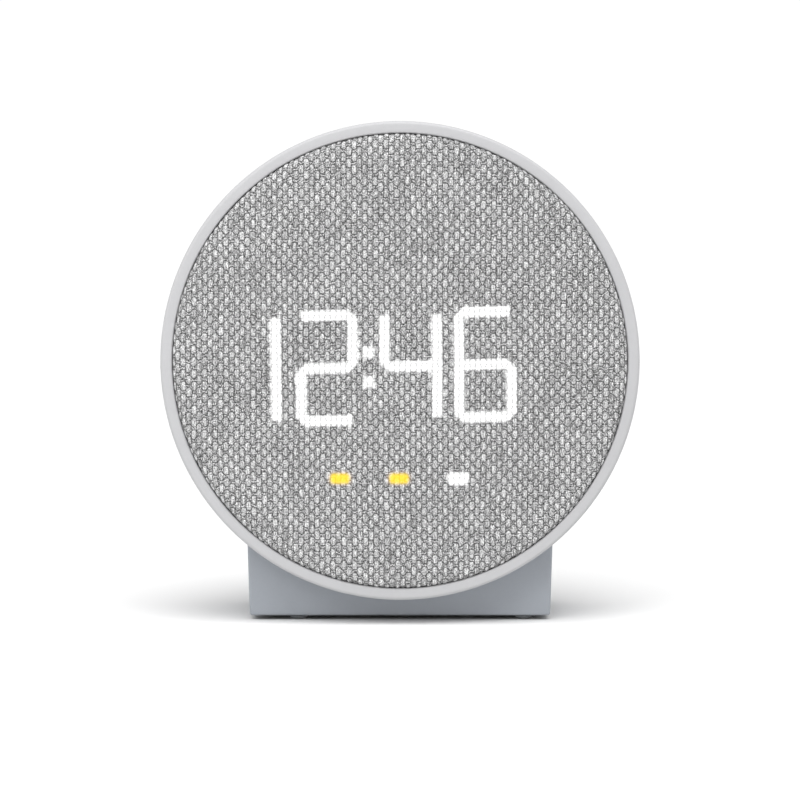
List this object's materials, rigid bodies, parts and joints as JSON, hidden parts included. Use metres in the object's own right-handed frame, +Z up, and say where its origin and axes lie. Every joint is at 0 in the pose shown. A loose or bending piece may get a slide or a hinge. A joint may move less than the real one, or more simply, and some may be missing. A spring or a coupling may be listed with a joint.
{
  "type": "alarm clock",
  "caption": "Round fabric-faced digital alarm clock on a block stand, with a flush snooze bar, rear push buttons, slide switch, power inlet and back-up battery drawer.",
  "frame": {"origin": "on the floor under the middle of the whole clock", "axes": "+Z up, the lit face looks along -Y, +X to the viewer's right"},
  "size_m": [0.15, 0.056, 0.1581],
  "materials": {
    "rim_plastic": "fine satin texture",
    "face_fabric": "plain weave, heather grey",
    "stand_plastic": "matte, blue-grey",
    "black_plastic": "matte",
    "white_plastic": "matte",
    "light_guide": "clear frosted",
    "button_plastic": "satin",
    "board_laminate": "solder mask",
    "ribbon_plastic": "satin",
    "bright_steel": "plain",
    "screw_steel": "zinc plated",
    "cast_iron": "as cast",
    "pad_rubber": "matte",
    "foot_rubber": "matte"
  },
  "bodies": {
    "clock_body": {"drum_shell": "rim_plastic", "fabric_cover": "face_fabric", "grille_carrier": "black_plastic", "display_window": "white_plastic", "segment_mask": "black_plastic", "segment_light_guide": "light_guide", "indicator_light_guide": "light_guide", "led_board": "board_laminate", "main_board": "board_laminate", "ribbon_cable": "ribbon_plastic", "port_board": "board_laminate", "usb_port": "bright_steel", "dc_jack": "black_plastic", "buzzer": "black_plastic", "rear_cover": "rim_plastic", "plus_switch": "black_plastic", "minus_switch": "black_plastic", "alarm_two_switch": "black_plastic", "alarm_one_switch": "black_plastic", "time_switch": "black_plastic", "snooze_switch": "black_plastic", "snooze_board": "board_laminate", "dimmer_switch": "bright_steel", "battery_holder": "black_plastic", "battery_contact": "bright_steel", "cover_screw_1": "screw_steel", "cover_screw_2": "screw_steel", "cover_screw_3": "screw_steel", "cover_screw_4": "screw_steel", "board_screw_1": "screw_steel", "board_screw_2": "screw_steel", "stand_shell": "stand_plastic", "stand_floor": "black_plastic", "ballast_weight": "cast_iron", "saddle_pad_left": "pad_rubber", "saddle_pad_right": "pad_rubber", "head_screw_1": "screw_steel", "floor_screw_1": "screw_steel", "head_screw_2": "screw_steel", "floor_screw_2": "screw_steel", "foot_front_left": "foot_rubber", "foot_front_right": "foot_rubber", "foot_rear_left": "foot_rubber", "foot_rear_right": "foot_rubber"},
    "snooze": {"snooze_bar": "button_plastic", "snooze_plunger": "white_plastic"},
    "dimmer": {"dimmer_knob": "black_plastic"},
    "battery_tray": {"battery_drawer": "rim_plastic", "coin_cell": "bright_steel"},
    "plus_key": {"plus_button": "button_plastic", "plus_plunger": "white_plastic"},
    "minus_key": {"minus_button": "button_plastic", "minus_plunger": "white_plastic"},
    "alarm_two_key": {"alarm_two_button": "button_plastic", "alarm_two_plunger": "white_plastic"},
    "alarm_one_key": {"alarm_one_button": "button_plastic", "alarm_one_plunger": "white_plastic"},
    "time_key": {"time_button": "button_plastic", "time_plunger": "white_plastic"}
  },
  "joints": [
    {"name": "snooze_press", "type": "slide", "parent": "clock_body", "child": "snooze", "axis": [0, 0, -1], "range_m": [0, 0.001], "stiffness_N_per_m": 1600, "springref_m": -0.0005},
    {"name": "plus_press", "type": "slide", "parent": "clock_body", "child": "plus_key", "axis": [0, -1, 0], "range_m": [0, 0.0008], "stiffness_N_per_m": 1600, "springref_m": -0.0003},
    {"name": "minus_press", "type": "slide", "parent": "clock_body", "child": "minus_key", "axis": [0, -1, 0], "range_m": [0, 0.0008], "stiffness_N_per_m": 1600, "springref_m": -0.0003},
    {"name": "alarm_two_press", "type": "slide", "parent": "clock_body", "child": "alarm_two_key", "axis": [0, -1, 0], "range_m": [0, 0.0008], "stiffness_N_per_m": 1600, "springref_m": -0.0003},
    {"name": "alarm_one_press", "type": "slide", "parent": "clock_body", "child": "alarm_one_key", "axis": [0, -1, 0], "range_m": [0, 0.0008], "stiffness_N_per_m": 1600, "springref_m": -0.0003},
    {"name": "time_press", "type": "slide", "parent": "clock_body", "child": "time_key", "axis": [0, -1, 0], "range_m": [0, 0.0008], "stiffness_N_per_m": 1600, "springref_m": -0.0003},
    {"name": "dimmer_slide", "type": "slide", "parent": "clock_body", "child": "dimmer", "axis": [1, 0, 0], "range_m": [-0.002, 0.002]},
    {"name": "battery_tray_slide", "type": "slide", "parent": "clock_body", "child": "battery_tray", "axis": [0, 1, 0], "range_m": [0, 0.022]}
  ]
}
